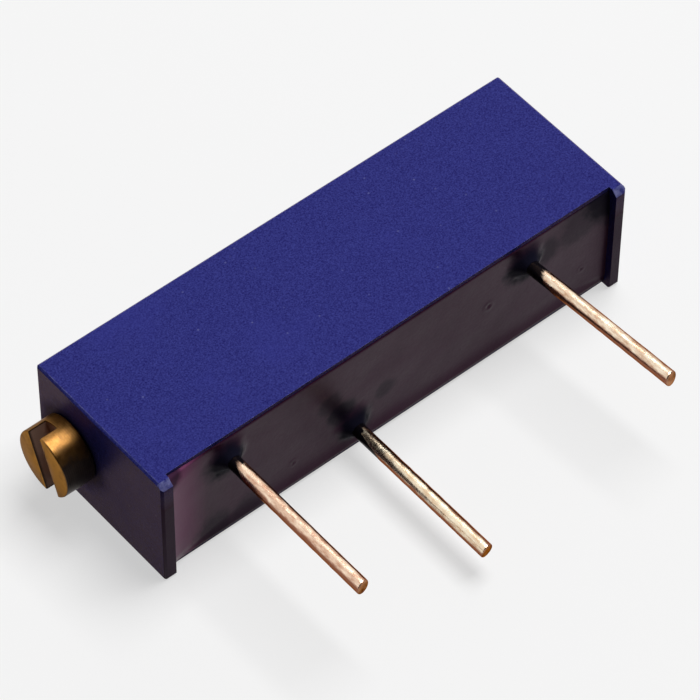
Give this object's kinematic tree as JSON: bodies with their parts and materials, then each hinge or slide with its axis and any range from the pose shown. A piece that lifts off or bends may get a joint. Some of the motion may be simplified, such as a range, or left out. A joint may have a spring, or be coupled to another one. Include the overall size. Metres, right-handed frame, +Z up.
{
  "type": "trimmer potentiometer",
  "caption": "Long slim box-shaped multi-turn trimmer potentiometer with a slotted brass adjusting screw at one end and wire terminals along one side.",
  "frame": {"origin": "middle of the large side face that the part lies on", "axes": "+X along the case, from the adjusting screw to the far end; -Y the way the terminals leave; +Z up, across the case's thickness"},
  "size_m": [0.0204, 0.0126, 0.0048],
  "materials": {
    "case_plastic": "moulded matte thermoset, deep blue",
    "sealant": "cast dark epoxy, glossy",
    "screw_brass": "turned, slightly tarnished",
    "seal_rubber": "moulded silicone rubber",
    "clip_steel": "stamped spring steel",
    "carriage_plastic": "moulded nylon",
    "spring_alloy": "stamped contact alloy",
    "alumina": "fired alumina",
    "cermet_ink": "fired resistive film",
    "conductor_ink": "fired conductor film",
    "tinned_wire": "solder-dipped copper wire, warm and slightly dull",
    "solder": "soft solder"
  },
  "bodies": {
    "body": {"case": "case_plastic", "potting_seal": "sealant", "retaining_clip": "clip_steel", "substrate": "alumina", "resistive_track": "cermet_ink", "collector_track": "conductor_ink", "termination_pad_1": "conductor_ink", "termination_pad_3": "conductor_ink", "terminal_1": "tinned_wire", "terminal_2": "tinned_wire", "terminal_3": "tinned_wire", "solder_joint_1": "solder", "solder_joint_2": "solder", "solder_joint_3": "solder"},
    "screw": {"lead_screw": "screw_brass", "shaft_seal_ring": "seal_rubber"},
    "slider": {"carriage": "carriage_plastic", "wiper": "spring_alloy"}
  },
  "joints": [
    {"name": "screw_turn", "type": "hinge", "parent": "body", "child": "screw", "pos_m": [0, 0.00143, 0.0024], "axis": [1, 0, 0], "range_deg": [-2700, 2700]},
    {"name": "carriage_travel", "type": "slide", "parent": "body", "child": "slider", "axis": [1, 0, 0], "range_m": [-0.0054, 0.0054]}
  ],
  "couplings": [
    {"joint": "screw_turn", "follows": "carriage_travel", "rad_per_m": 8726.6}
  ]
}
